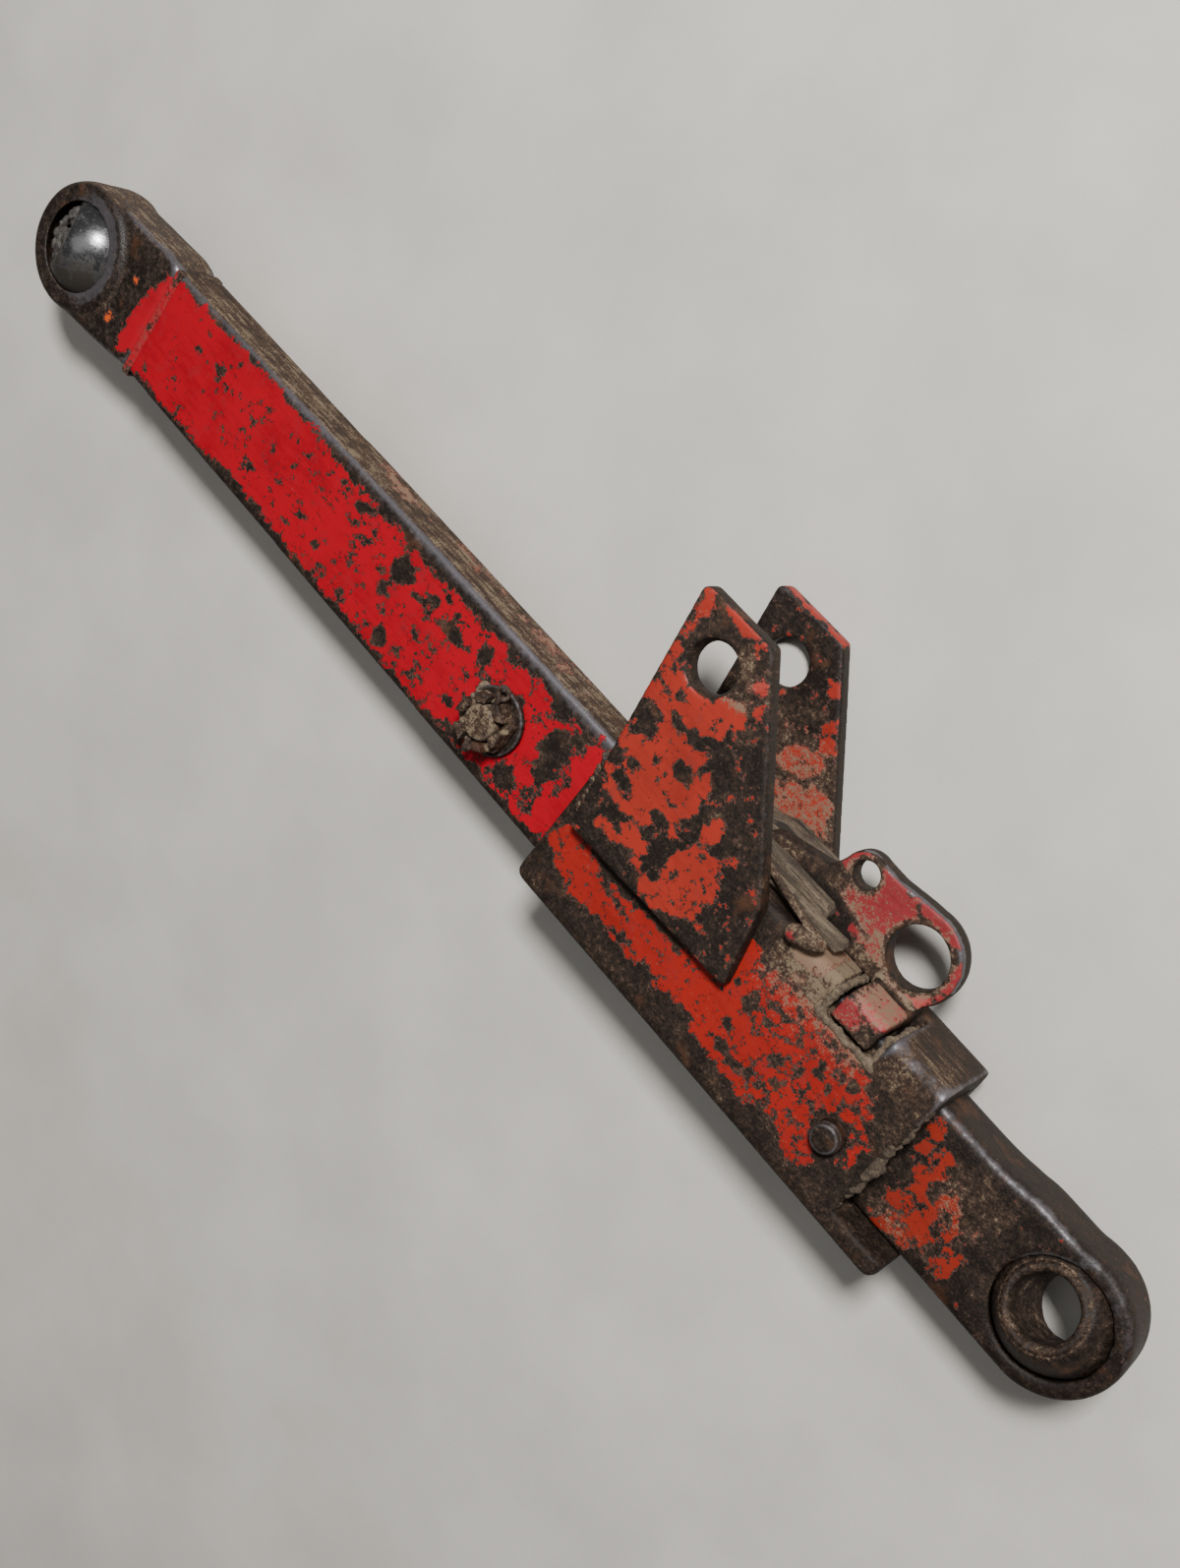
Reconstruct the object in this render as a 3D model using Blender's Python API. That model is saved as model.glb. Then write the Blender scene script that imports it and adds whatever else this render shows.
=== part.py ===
"""Telescoping lower lift arm for a tractor three-point hitch, lying on its side.

X runs from the front (tractor) ball to the rear (implement) ball, Y towards the
clevis ears and Z up through the thickness. All lengths are in metres.
"""
import math

import bmesh
import bpy
from mathutils import Matrix, Vector

MM = 0.001
GAP = 0.3 * MM                 # running and seating clearance between pieces

# Overall layout in the arm's own plane; the front ball is at X = 0, Y = 0.
BALL_SPAN = 800 * MM           # front ball to rear ball with the end pushed in
REAR_Y = 6 * MM                # rear ball sits slightly towards the ears
MID_Z = 44.2 * MM              # height of the arm's mid plane above the floor
HALF_T = 16.5 * MM             # half thickness of bar and shank

# Balls (Category 3) and their eyes.
BALL_R = 32 * MM
BALL_HALF_W = 22.5 * MM
BALL_BORE_R = 18.7 * MM
SOCKET_R = BALL_R + 0.35 * MM
FRONT_EYE_R = 39 * MM
FRONT_EYE_HALF = 19.5 * MM
REAR_EYE_R = 38.5 * MM
FRONT_BALL_TILT = math.radians(42)
FRONT_BALL_HEADING = math.radians(180)   # the way the raised end of the bore leans, from +X
REAR_BALL_TILT = math.radians(18)
REAR_BALL_HEADING = math.radians(138)

# Main bar.
BAR_FRONT_X = 73 * MM
BAR_END_X = 505 * MM
BAR_TOP_FRONT = 38.5 * MM
BAR_TOP_REAR = 40.5 * MM
BAR_BOT_FRONT = -32.5 * MM
BAR_BOT_REAR = -37 * MM

# Sleeve that carries the telescoping end.
SLEEVE_X0 = 467 * MM
SLEEVE_X1 = 701 * MM
SLEEVE_STUB_X = 735 * MM
SLEEVE_TOP = 52 * MM
SLEEVE_BOT = -45.5 * MM
SLEEVE_HALF = 33.4 * MM
BORE_TOP = 39.3 * MM
BORE_BOT = -33 * MM
BORE_HALF = HALF_T + GAP
WINDOW_X0 = 630 * MM
WINDOW_X1 = 666 * MM
WINDOW_BOT = 33.5 * MM
FAR_CORNER_R = 18 * MM         # the lower far corner is bent round behind the saddle
FAR_CORNER_X = 604 * MM

# Clevis ears.
EAR_T = 10.5 * MM
EAR_IN = SLEEVE_HALF + GAP
EAR_PTS = ((457.5, 142), (461, 145), (504, 145), (581, 51), (592, 8), (479.5, 4))
EAR_HOLE = (486.7 * MM, 116.7 * MM)
EAR_HOLE_R = 12.7 * MM
EAR_HOLE_MOUTH_R = 14.3 * MM

# Latch.
PIVOT = (556 * MM, 58.5 * MM)
PIN_R = 4.0 * MM
LATCH_HALF = 6.3 * MM
HANDLE_HOLE = (643.3 * MM, 75.5 * MM)
HANDLE_HOLE_R = 16 * MM
SMALL_HOLE = (598.8 * MM, 85.5 * MM)
SMALL_HOLE_R = 7 * MM
FOOT_X0 = 636 * MM
FOOT_X1 = 660.5 * MM
FOOT_OUT = 35.4 * MM
TOOTH_BOT = 31 * MM
SPRING_WIRE_R = 2.1 * MM

# Telescoping end.
SHANK_X0 = 518 * MM
TRAVEL = 100 * MM
NOTCH_FLOOR = 28 * MM

# Fasteners.
STOP_AT = (675.5 * MM, -6 * MM)
STOP_R = 5 * MM
STUD_AT = (401.5 * MM, -2 * MM)
STUD_R = 10 * MM

# Moves the arm so that its footprint is centred on the origin and it lies on the floor.
ORIGIN_X = 0.5 * ((BALL_SPAN + 0.5 * MM + REAR_EYE_R) - FRONT_EYE_R)
ORIGIN_Y = 0.5 * (145 * MM + SLEEVE_BOT)
SHIFT = Vector((-ORIGIN_X, -ORIGIN_Y, MID_Z))


def clear_scene():
    for obj in list(bpy.data.objects):
        bpy.data.objects.remove(obj, do_unlink=True)


def material(name, colour, roughness, metallic):
    mat = bpy.data.materials.new(name)
    mat.use_nodes = True
    bsdf = mat.node_tree.nodes["Principled BSDF"]
    bsdf.inputs["Base Color"].default_value = (*colour, 1.0)
    bsdf.inputs["Roughness"].default_value = roughness
    bsdf.inputs["Metallic"].default_value = metallic
    return mat


RED = (0.42, 0.02, 0.015)
RUST = (0.07, 0.04, 0.025)
STEEL = (0.16, 0.15, 0.15)
DIRT = (0.2, 0.15, 0.1)


def new_object(name, bm, colour, roughness, metallic, at=(0.0, 0.0, 0.0)):
    """Turn a bmesh drawn in arm coordinates into an object whose origin is at `at`."""
    bmesh.ops.recalc_face_normals(bm, faces=bm.faces)
    bmesh.ops.translate(bm, verts=bm.verts, vec=-Vector(at))
    mesh = bpy.data.meshes.new(name)
    bm.to_mesh(mesh)
    bm.free()
    mesh.materials.append(material(name + "_mat", colour, roughness, metallic))
    obj = bpy.data.objects.new(name, mesh)
    obj.location = Vector(at) + SHIFT
    bpy.context.scene.collection.objects.link(obj)
    return obj


def cutter(name, bm):
    obj = new_object(name, bm, STEEL, 0.5, 0.0)
    obj.hide_render = True
    obj.display_type = "WIRE"
    return obj


def subtract(obj, tool):
    mod = obj.modifiers.new("cut_" + tool.name, "BOOLEAN")
    mod.operation = "DIFFERENCE"
    mod.solver = "EXACT"
    mod.object = tool


def unite(obj, tool):
    mod = obj.modifiers.new("join_" + tool.name, "BOOLEAN")
    mod.operation = "UNION"
    mod.solver = "EXACT"
    mod.object = tool


def soften(obj, width, segments=2, angle=35):
    mod = obj.modifiers.new("Bevel", "BEVEL")
    mod.width = width
    mod.segments = segments
    mod.limit_method = "ANGLE"
    mod.angle_limit = math.radians(angle)
    mod.use_clamp_overlap = True


def prism(outline, z0, z1):
    """Solid of an XY outline between two heights."""
    bm = bmesh.new()
    low = [bm.verts.new((x, y, z0)) for x, y in outline]
    high = [bm.verts.new((x, y, z1)) for x, y in outline]
    count = len(outline)
    for i in range(count):
        j = (i + 1) % count
        bm.faces.new((low[i], low[j], high[j], high[i]))
    bm.faces.new(low[::-1])
    bm.faces.new(high)
    return bm


def box(x0, x1, y0, y1, z0, z1):
    return prism(((x0, y0), (x1, y0), (x1, y1), (x0, y1)), z0, z1)


def beam(section, x0, x1):
    """Solid of a (z, y) section extruded along X."""
    bm = bmesh.new()
    low = [bm.verts.new((x0, y, z)) for z, y in section]
    high = [bm.verts.new((x1, y, z)) for z, y in section]
    for i in range(len(section)):
        j = (i + 1) % len(section)
        bm.faces.new((low[i], low[j], high[j], high[i]))
    bm.faces.new(low[::-1])
    bm.faces.new(high)
    return bm


def arc(cx, cy, radius, start, end, steps):
    """Points along an arc; angles in degrees."""
    points = []
    for i in range(steps + 1):
        a = math.radians(start + (end - start) * i / steps)
        points.append((cx + radius * math.cos(a), cy + radius * math.sin(a)))
    return points


def ring_points(cx, cy, radius, count, turn=0.0):
    return [(cx + radius * math.cos(turn + 2 * math.pi * i / count),
             cy + radius * math.sin(turn + 2 * math.pi * i / count)) for i in range(count)]


def lathe(profile, count=40):
    """Solid of revolution about Z from a closed (radius, z) profile with radii above zero,
    or an open profile that starts and ends on the axis."""
    bm = bmesh.new()
    rings = []
    for radius, z in profile:
        if radius < 1e-9:
            rings.append([bm.verts.new((0.0, 0.0, z))])
        else:
            rings.append([bm.verts.new((x, y, z)) for x, y in ring_points(0, 0, radius, count)])
    closed = len(rings[0]) > 1
    pairs = list(zip(rings, rings[1:]))
    if closed:
        pairs.append((rings[-1], rings[0]))
    for a, b in pairs:
        for i in range(count):
            j = (i + 1) % count
            if len(a) == 1:
                bm.faces.new((a[0], b[j], b[i]))
            elif len(b) == 1:
                bm.faces.new((a[i], a[j], b[0]))
            else:
                bm.faces.new((a[i], a[j], b[j], b[i]))
    return bm


def moved(bm, x=0.0, y=0.0, z=0.0):
    bmesh.ops.translate(bm, verts=bm.verts, vec=(x, y, z))
    return bm


def turned(bm, angle, axis):
    bmesh.ops.rotate(bm, verts=bm.verts, cent=(0, 0, 0), matrix=Matrix.Rotation(angle, 3, axis))
    return bm


def rod(points, radius, sides=8):
    """Closed round wire through a list of points."""
    bm = bmesh.new()
    pts = [Vector(p) for p in points]
    rings = []
    normal = Vector((0.0, 0.0, 1.0))
    for i, p in enumerate(pts):
        ahead = pts[min(i + 1, len(pts) - 1)] - pts[max(i - 1, 0)]
        ahead.normalize()
        side = normal - ahead * normal.dot(ahead)
        if side.length < 1e-4:
            side = Vector((1.0, 0.0, 0.0)) - ahead * ahead.x
        side.normalize()
        normal = side
        up = ahead.cross(side)
        ring = []
        for k in range(sides):
            a = 2 * math.pi * k / sides
            ring.append(bm.verts.new(p + (side * math.cos(a) + up * math.sin(a)) * radius))
        rings.append(ring)
    for a, b in zip(rings, rings[1:]):
        for k in range(sides):
            m = (k + 1) % sides
            bm.faces.new((a[k], a[m], b[m], b[k]))
    bm.faces.new(rings[0][::-1])
    bm.faces.new(rings[-1])
    return bm


def ball(name, tilt, heading, at):
    """Swivel ball: a sphere with two flats and a bore, tilted from upright towards a heading."""
    steps = 14
    edge = math.asin(BALL_HALF_W / BALL_R)
    profile = [(BALL_BORE_R, -BALL_HALF_W + 1.2 * MM), (BALL_BORE_R + 1.2 * MM, -BALL_HALF_W)]
    for i in range(steps + 1):
        a = -edge + 2 * edge * i / steps
        profile.append((BALL_R * math.cos(a), BALL_R * math.sin(a)))
    profile += [(BALL_BORE_R + 1.2 * MM, BALL_HALF_W), (BALL_BORE_R, BALL_HALF_W - 1.2 * MM)]
    bm = turned(turned(lathe(profile, 48), tilt, "Y"), heading, "Z")
    return new_object(name, moved(bm, *at), STEEL, 0.3, 0.9, at)


def socket_cutter(name, x, y):
    profile = [(0.0, -SOCKET_R)]
    for i in range(1, 24):
        a = -math.pi / 2 + math.pi * i / 24
        profile.append((SOCKET_R * math.cos(a), SOCKET_R * math.sin(a)))
    profile.append((0.0, SOCKET_R))
    return cutter(name, moved(lathe(profile, 56), x, y))


def build_front_eye():
    outline = arc(0, 0, FRONT_EYE_R, 82, 278, 26)
    outline += [(40 * MM, -36.5 * MM), (BAR_FRONT_X - GAP, BAR_BOT_FRONT)]
    outline += [(BAR_FRONT_X - GAP, BAR_TOP_FRONT), (60 * MM, 41 * MM)]
    body = new_object("front_eye", prism(outline, -HALF_T, HALF_T), RUST, 0.6, 0.6)
    soften(body, 4 * MM, 3, 50)
    boss = [(0.0, -FRONT_EYE_HALF), (35.5 * MM, -FRONT_EYE_HALF), (38.2 * MM, -17.5 * MM),
            (38.2 * MM, 17.5 * MM), (35.5 * MM, FRONT_EYE_HALF), (0.0, FRONT_EYE_HALF)]
    unite(body, cutter("front_eye_boss", lathe(boss, 56)))
    subtract(body, socket_cutter("front_socket", 0, 0))
    return body


def build_eye_weld():
    """Flat weld band wrapped round the joint between eye and bar."""
    x0, x1 = BAR_FRONT_X - 2 * MM, BAR_FRONT_X + 4.5 * MM
    low, top, half = BAR_BOT_FRONT - 1.5 * MM, BAR_TOP_FRONT + 1.7 * MM, HALF_T + 1.1 * MM
    band = new_object("eye_weld", box(x0, x1, low, top, -half, half), RUST, 0.7, 0.4)
    soften(band, 0.7 * MM, 2, 50)
    inner = box(x0 - MM, x1 + MM, BAR_BOT_FRONT - GAP, BAR_TOP_FRONT + 0.65 * MM,
                -HALF_T - GAP, HALF_T + GAP)
    subtract(band, cutter("eye_weld_bore", inner))
    return band


def build_bar():
    nose = SLEEVE_X0 - GAP
    outline = ((BAR_FRONT_X, BAR_BOT_FRONT), (nose, BAR_BOT_REAR), (nose, BORE_BOT + GAP),
               (BAR_END_X, BORE_BOT + GAP), (BAR_END_X, BORE_TOP - GAP), (nose, BORE_TOP - GAP),
               (nose, BAR_TOP_REAR), (BAR_FRONT_X, BAR_TOP_FRONT))
    bar = new_object("main_bar", prism(outline, -HALF_T, HALF_T), RED, 0.5, 0.2)
    soften(bar, 4 * MM, 3, 50)
    hole = moved(lathe([(0, -HALF_T - MM), (STUD_R + GAP, -HALF_T - MM),
                        (STUD_R + GAP, HALF_T + MM), (0, HALF_T + MM)], 32), *STUD_AT)
    subtract(bar, cutter("stud_hole", hole))
    return bar


def build_sleeve():
    body = new_object("sleeve", box(SLEEVE_X0, SLEEVE_STUB_X, SLEEVE_BOT, SLEEVE_TOP,
                                    -SLEEVE_HALF, SLEEVE_HALF), RED, 0.55, 0.2)
    soften(body, 6 * MM, 4, 50)
    big = SLEEVE_HALF + MM
    subtract(body, cutter("sleeve_mouth", box(SLEEVE_X1, SLEEVE_STUB_X + MM, BORE_BOT,
                                              SLEEVE_TOP + MM, -big, big)))
    subtract(body, cutter("sleeve_bore", box(SLEEVE_X0 - MM, SLEEVE_X1 + 2 * MM, BORE_BOT,
                                             BORE_TOP, -BORE_HALF, BORE_HALF)))
    subtract(body, cutter("sleeve_window", box(WINDOW_X0, WINDOW_X1, WINDOW_BOT,
                                               SLEEVE_TOP + MM, -8 * MM, big)))
    subtract(body, cutter("sleeve_slot", box(543 * MM, WINDOW_X0 + MM, BORE_TOP - MM,
                                             SLEEVE_TOP + MM, -7 * MM, 7 * MM)))
    subtract(body, cutter("spring_pocket", box(546 * MM, 566 * MM, 49.2 * MM, SLEEVE_TOP + MM,
                                               19.6 * MM, big)))
    corner_z, corner_y = SLEEVE_HALF - FAR_CORNER_R, SLEEVE_TOP - FAR_CORNER_R
    section = arc(-corner_z, corner_y, FAR_CORNER_R, 90, 180, 8)
    section += [(-big, corner_y), (-big, SLEEVE_TOP + MM), (-corner_z, SLEEVE_TOP + MM)]
    subtract(body, cutter("sleeve_far_corner", beam(section, FAR_CORNER_X, SLEEVE_STUB_X + MM)))
    bolt = lathe([(0, -big), (STOP_R + GAP, -big), (STOP_R + GAP, big), (0, big)], 24)
    subtract(body, cutter("sleeve_bolt_hole", moved(bolt, *STOP_AT)))
    return body


def ear_outline():
    return [(x * MM, y * MM) for x, y in EAR_PTS]


def build_ear(name, side):
    """One clevis ear; side is +1 for the upper ear and -1 for the lower one."""
    z0, z1 = sorted((side * EAR_IN, side * (EAR_IN + EAR_T)))
    ear = new_object(name, prism(ear_outline(), z0, z1), RED, 0.55, 0.2)
    soften(ear, 1.2 * MM, 2)
    near = side * (EAR_IN + EAR_T)
    profile = [(0, side * (EAR_IN - MM)), (EAR_HOLE_R, side * (EAR_IN - MM)),
               (EAR_HOLE_R, near - side * 3.5 * MM), (EAR_HOLE_MOUTH_R, near - side * 1.2 * MM),
               (EAR_HOLE_MOUTH_R, near + side * MM), (0, near + side * MM)]
    subtract(ear, cutter(name + "_hole", moved(lathe(profile, 40), *EAR_HOLE)))
    return ear


def build_ear_weld(name, side):
    """Fillet weld between an ear's front edge and the sleeve wall."""
    wall, reach = SLEEVE_HALF + GAP, 7 * MM
    foot, head = Vector((478.3 * MM, 9 * MM, 0)), Vector((472.2 * MM, 43 * MM, 0))
    steps, bm, rings = 12, bmesh.new(), []
    for i in range(steps + 1):
        p = foot.lerp(head, i / steps)
        size = reach * (0.86 + 0.14 * math.sin(i * 2.4))
        ring = [(p.x, wall), (p.x - size * 0.95, wall), (p.x - size * 0.7, wall + size * 0.55),
                (p.x, wall + size)]
        rings.append([bm.verts.new((x, p.y, side * z)) for x, z in ring])
    for a, b in zip(rings, rings[1:]):
        for k in range(4):
            m = (k + 1) % 4
            bm.faces.new((a[k], a[m], b[m], b[k]))
    bm.faces.new(rings[0][::-1])
    bm.faces.new(rings[-1])
    return new_object(name, bm, RUST, 0.7, 0.4)


def build_saddle():
    """Block on the sleeve between the ears; its slot holds the latch."""
    base = SLEEVE_TOP + GAP
    outline = ((505 * MM, base), (601 * MM, base), (601 * MM, 62 * MM), (597 * MM, 65.5 * MM),
               (547 * MM, 65 * MM), (536 * MM, 60 * MM), (512 * MM, 56 * MM),
               (505 * MM, 54.5 * MM))
    block = new_object("latch_saddle", prism(outline, -SLEEVE_HALF, 17.5 * MM), DIRT, 0.8, 0.2)
    soften(block, 1.0 * MM, 2)
    subtract(block, cutter("saddle_slot", box(543 * MM, 603 * MM, base - MM, 70 * MM,
                                              -7 * MM, 7 * MM)))
    hole = lathe([(0, -40 * MM), (PIN_R + GAP, -40 * MM), (PIN_R + GAP, 20 * MM), (0, 20 * MM)], 24)
    subtract(block, cutter("saddle_pin_hole", moved(hole, *PIVOT)))
    return block


def build_strip():
    outline = ((569.5 * MM, 55.2 * MM), (617 * MM, 55.2 * MM), (619.5 * MM, 60 * MM),
               (617 * MM, 63.5 * MM), (569.5 * MM, 60.5 * MM))
    bm = prism(outline, 20.5 * MM, 27 * MM)
    strip = new_object("guide_strip", bm, DIRT, 0.8, 0.2)
    soften(strip, 0.8 * MM, 2)
    return strip


def latch_outline():
    """Latch side view: pivot lug, back with its two rises, handle ring and underside."""
    px, py = PIVOT
    points = arc(px, py, 9.5 * MM, 110, 270, 9)
    points += [(620 * MM, 49.5 * MM), (FOOT_X0, 49.5 * MM), (FOOT_X0, TOOTH_BOT)]
    points += [(FOOT_X1 - 2.5 * MM, TOOTH_BOT), (FOOT_X1, 36 * MM), (FOOT_X1, 54 * MM)]
    points += arc(641.5 * MM, 75 * MM, 24.7 * MM, -40, 90, 12)
    points += [(627 * MM, 98.2 * MM), (612.5 * MM, 96 * MM)]
    points += arc(598 * MM, 84.5 * MM, 12.2 * MM, 75, 180, 7)
    points += [(582.5 * MM, 76 * MM)]
    return points


def build_latch():
    latch = new_object("latch", prism(latch_outline(), -LATCH_HALF, LATCH_HALF),
                       (0.3, 0.02, 0.03), 0.5, 0.2, (*PIVOT, 0.0))
    soften(latch, 1.4 * MM, 2, 45)
    inner = 26.4 * MM
    section = ((4 * MM, 44.5 * MM), (inner - 2 * MM, 44.5 * MM), (inner, 42.5 * MM),
               (inner, 36.5 * MM), (FOOT_OUT, 36.5 * MM), (FOOT_OUT, 50 * MM),
               (FOOT_OUT - 3.5 * MM, 53.5 * MM), (4 * MM, 55.5 * MM))
    tool = cutter("latch_foot", beam(section, FOOT_X0 + 0.2 * MM, FOOT_X1 - 0.2 * MM))
    soften(tool, 1.0 * MM, 2, 30)
    unite(latch, tool)
    for name, at, radius, count in (("latch_finger_hole", HANDLE_HOLE, HANDLE_HOLE_R, 40),
                                    ("latch_small_hole", SMALL_HOLE, SMALL_HOLE_R, 24),
                                    ("latch_pin_hole", PIVOT, PIN_R + GAP, 24)):
        span = LATCH_HALF + 2 * MM
        bm = lathe([(0, -span), (radius, -span), (radius, span), (0, span)], count)
        subtract(latch, cutter(name, moved(bm, *at)))
    return latch


def build_latch_pin():
    profile = [(0, -31 * MM), (PIN_R - MM, -31 * MM), (PIN_R, -30 * MM), (PIN_R, 32.4 * MM),
               (PIN_R - MM, 33.2 * MM), (0, 33.2 * MM)]
    pin = new_object("latch_pin", moved(lathe(profile, 24), *PIVOT), STEEL, 0.4, 0.9)
    return pin


def build_spring():
    """Torsion spring: a coil round the latch pin and a long tail ending in an open hook."""
    px, py = PIVOT
    radius, z0, pitch, turns = PIN_R + SPRING_WIRE_R + GAP, 22.6 * MM, 4.9 * MM, 1.75
    count = 24
    points = []
    for i in range(count + 1):
        a = math.radians(90) + turns * 2 * math.pi * (1 - i / count)
        points.append((px + radius * math.cos(a), py + radius * math.sin(a),
                       z0 + pitch * turns * i / count))
    tail = ((566, 64.2, 31.1), (577, 61.6, 31.1), (592, 58.6, 31.1), (604, 57.6, 32), (611, 58, 34.4),
            (612.3, 57.5, 37.4), (608, 56, 39.2), (602.5, 54.4, 38.8), (598.5, 52.6, 37.4))
    points += [(x * MM, y * MM, z * MM) for x, y, z in tail]
    return new_object("latch_spring", rod(points, SPRING_WIRE_R, 8), STEEL, 0.4, 0.8)


def build_link_end():
    cx, cy, radius = BALL_SPAN + 0.5 * MM, REAR_Y - 0.5 * MM, REAR_EYE_R
    top, low = BORE_TOP - GAP, BORE_BOT + GAP
    outline = [(SHANK_X0, top), (SHANK_X0, low), (790 * MM, low)]
    outline += arc(cx, cy, radius, -82, 108, 26)
    outline += [(762 * MM, 42.6 * MM), (750 * MM, 40.6 * MM), (733 * MM, top)]
    link = new_object("link_end", prism(outline, -HALF_T, HALF_T), RUST, 0.5, 0.5)
    soften(link, 3.6 * MM, 3, 50)
    subtract(link, socket_cutter("rear_socket", BALL_SPAN, REAR_Y))
    x0, x1 = FOOT_X0 - TRAVEL - 4 * MM, FOOT_X1 + 3.5 * MM
    subtract(link, cutter("shank_notch", box(x0, x1, NOTCH_FLOOR, top + MM, -8 * MM, 8 * MM)))
    sx, sy = STOP_AT
    slot_r = STOP_R + 0.6 * MM
    slot = arc(sx, sy, slot_r, -90, 90, 10) + arc(sx - TRAVEL, sy, slot_r, 90, 270, 10)
    span = HALF_T + MM
    subtract(link, cutter("shank_slot", prism(slot, -span, span)))
    return link


def hexagon(radius_flats, turn=0.0):
    return ring_points(0, 0, radius_flats / math.cos(math.pi / 6), 6, turn)


def build_stop_bolt():
    head = SLEEVE_HALF + GAP
    profile = [(0, -MID_Z + 0.4 * MM), (STOP_R - MM, -MID_Z + 0.4 * MM), (STOP_R, -MID_Z + 1.4 * MM),
               (STOP_R, head), (8.3 * MM, head), (8.3 * MM, head + 6.5 * MM),
               (7 * MM, head + 8.8 * MM), (0, head + 9.2 * MM)]
    return new_object("stop_bolt", moved(lathe(profile, 24), *STOP_AT), RUST, 0.6, 0.6)


def build_nut(name, at, flats, z0, z1, bore, colour, turn=0.0):
    nut = new_object(name, moved(prism(hexagon(flats, turn), z0, z1), *at), colour, 0.6, 0.6)
    soften(nut, 0.6 * MM, 2, 30)
    hole = lathe([(0, z0 - MM), (bore, z0 - MM), (bore, z1 + MM), (0, z1 + MM)], 24)
    subtract(nut, cutter(name + "_bore", moved(hole, *at)))
    return nut


def washer(name, at, radius, bore, z0, z1):
    edge = 0.5 * MM
    profile = [(bore, z0), (radius - edge, z0), (radius, z0 + edge), (radius, z1 - edge),
               (radius - edge, z1), (bore, z1)]
    return new_object(name, moved(lathe(profile, 40), *at), RUST, 0.6, 0.6)


STUD_WASHER_TOP = HALF_T + GAP + 4 * MM
STUD_NUT_TOP = STUD_WASHER_TOP + GAP + 13 * MM


def build_sway_stud():
    """Stud through the bar with a hexagon collar and a plain pin end below."""
    low = -STUD_WASHER_TOP - GAP
    bm = lathe([(0, -MID_Z), (8 * MM, -MID_Z), (9 * MM, -MID_Z + MM), (9 * MM, low - MM),
                (STUD_R, low), (STUD_R, STUD_NUT_TOP - 2.5 * MM),
                (STUD_R - 1.2 * MM, STUD_NUT_TOP - 0.8 * MM), (0, STUD_NUT_TOP - 0.8 * MM)], 32)
    stud = new_object("sway_stud", moved(bm, *STUD_AT), RUST, 0.6, 0.6)
    collar = cutter("sway_collar", moved(prism(hexagon(17 * MM), low - 15 * MM, low), *STUD_AT))
    soften(collar, 0.8 * MM, 2, 30)
    unite(stud, collar)
    z = STUD_NUT_TOP - 5 * MM
    hole = turned(lathe([(0, -20 * MM), (2.6 * MM, -20 * MM), (2.6 * MM, 20 * MM), (0, 20 * MM)], 16),
                  math.pi / 2, "X")
    subtract(stud, cutter("stud_cotter_hole", moved(hole, STUD_AT[0], STUD_AT[1], z)))
    return stud


def build_sway_nut():
    z0, z1 = STUD_WASHER_TOP + GAP, STUD_NUT_TOP
    nut = build_nut("sway_nut", STUD_AT, 15.2 * MM, z0, z1, STUD_R + GAP, RUST, math.pi / 6)
    for i in range(3):
        bm = turned(box(-22 * MM, 22 * MM, -3 * MM, 3 * MM, 0, 12 * MM), math.pi / 3 * i + math.pi / 2, "Z")
        tool = cutter("castle_slot_%d" % i, moved(bm, STUD_AT[0], STUD_AT[1], z1 - 7.2 * MM))
        subtract(nut, tool)
    return nut


def build_cotter():
    """Split pin through the castle nut, its looped eye on one side and a bent leg on the other."""
    x, y = STUD_AT
    z = STUD_NUT_TOP - 5 * MM
    points = [(x, y + 17 * MM, z), (x, y - 17 * MM, z), (x, y - 19.5 * MM, z - 1.5 * MM),
              (x, y - 20.5 * MM, z - 5 * MM)]
    bm = rod(points, 1.7 * MM, 8)
    pin = new_object("sway_cotter", bm, STEEL, 0.5, 0.7)
    loop = []
    for i in range(17):
        a = math.radians(-90 + 20 + 320 * i / 16)
        loop.append((x + 3.4 * MM * math.cos(a), y + 20.4 * MM + 3.4 * MM * math.sin(a), z))
    unite(pin, cutter("cotter_loop", rod(loop, 1.4 * MM, 8)))
    return pin


def main():
    clear_scene()
    build_front_eye()
    build_eye_weld()
    build_bar()
    build_sleeve()
    build_ear("near_ear", 1)
    build_ear("far_ear", -1)
    build_ear_weld("near_ear_weld", 1)
    build_ear_weld("far_ear_weld", -1)
    build_saddle()
    build_strip()
    build_latch()
    build_latch_pin()
    build_spring()
    build_link_end()
    ball("front_ball", FRONT_BALL_TILT, FRONT_BALL_HEADING, (0.0, 0.0, 0.0))
    ball("rear_ball", REAR_BALL_TILT, REAR_BALL_HEADING, (BALL_SPAN, REAR_Y, 0.0))
    build_stop_bolt()
    build_nut("stop_nut", STOP_AT, 8.5 * MM, -MID_Z, -SLEEVE_HALF - GAP, STOP_R + GAP, RUST)
    build_sway_stud()
    washer("sway_washer", STUD_AT, 19 * MM, STUD_R + GAP, HALF_T + GAP, STUD_WASHER_TOP)
    washer("sway_back_washer", STUD_AT, 19 * MM, STUD_R + GAP, -STUD_WASHER_TOP, -HALF_T - GAP)
    build_sway_nut()
    build_cotter()


main()
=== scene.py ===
"""Looks of a telescoping lower lift arm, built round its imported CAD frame.

Objects are in metres. Wear is drawn in the arm's own millimetres: x from the front ball's centre
to the rear ball, y towards the clevis ears and z up from the arm's mid plane.
"""
import math

import bmesh
import bpy
import numpy as np
from mathutils import Matrix, Vector


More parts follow.
